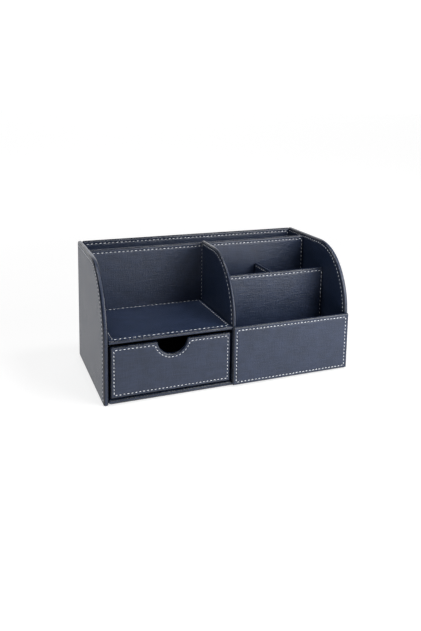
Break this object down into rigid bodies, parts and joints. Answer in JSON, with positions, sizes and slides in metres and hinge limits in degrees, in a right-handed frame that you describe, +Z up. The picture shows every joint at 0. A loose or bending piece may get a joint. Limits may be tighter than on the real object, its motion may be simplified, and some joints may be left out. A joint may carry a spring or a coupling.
{
  "type": "desk organizer with drawer",
  "caption": "Desk organizer of sewn, leather-wrapped boards: a letter slot behind an open shelf over a drawer, and beside it a front pocket and small bins.",
  "frame": {"origin": "middle of the footprint, on the surface that the organizer stands on", "axes": "+X to the right along the width, +Y to the back, +Z up; the drawer opens towards -Y"},
  "size_m": [0.3014, 0.1516, 0.1489],
  "materials": {
    "navy_leather": "navy PU leather with a fine pebble grain, semi-matte",
    "navy_facing": "navy PU leather facing, semi-matte",
    "core_board": "raw fibreboard",
    "drawer_paper": "fibreboard covered in black book paper",
    "liner_felt": "black flocked felt",
    "sewing_thread": "off-white polyester sewing thread",
    "underside_felt": "black pressed felt"
  },
  "bodies": {
    "case": {"back_panel_board": "core_board", "back_panel_facing": "navy_facing", "back_panel_wrap": "navy_leather", "base_board": "core_board", "base_facing": "navy_facing", "base_wrap": "navy_leather", "centre_divider_board": "core_board", "centre_divider_facing": "navy_facing", "centre_divider_wrap": "navy_leather", "cross_divider_board": "core_board", "cross_divider_facing": "navy_facing", "cross_divider_wrap": "navy_leather", "front_panel_board": "core_board", "front_panel_facing": "navy_facing", "front_panel_wrap": "navy_leather", "front_pocket_liner": "liner_felt", "left_bin_liner": "liner_felt", "left_side_board": "core_board", "left_side_facing": "navy_facing", "left_side_wrap": "navy_leather", "letter_slot_liner": "liner_felt", "right_bin_liner": "liner_felt", "right_side_board": "core_board", "right_side_facing": "navy_facing", "right_side_wrap": "navy_leather", "shelf_board": "core_board", "shelf_facing": "navy_facing", "shelf_wrap": "navy_leather", "slot_panel_board": "core_board", "slot_panel_facing": "navy_facing", "slot_panel_wrap": "navy_leather", "tall_divider_board": "core_board", "tall_divider_facing": "navy_facing", "tall_divider_wrap": "navy_leather", "underside_felt": "underside_felt"},
    "drawer": {"drawer_back_wall": "drawer_paper", "drawer_floor": "drawer_paper", "drawer_front_board": "core_board", "drawer_front_facing": "navy_facing", "drawer_front_wrap": "navy_leather", "drawer_left_wall": "drawer_paper", "drawer_liner": "liner_felt", "drawer_right_wall": "drawer_paper"}
  },
  "joints": [
    {"name": "drawer_slide", "type": "slide", "parent": "case", "child": "drawer", "axis": [0, -1, 0], "range_m": [0, 0.08]}
  ]
}
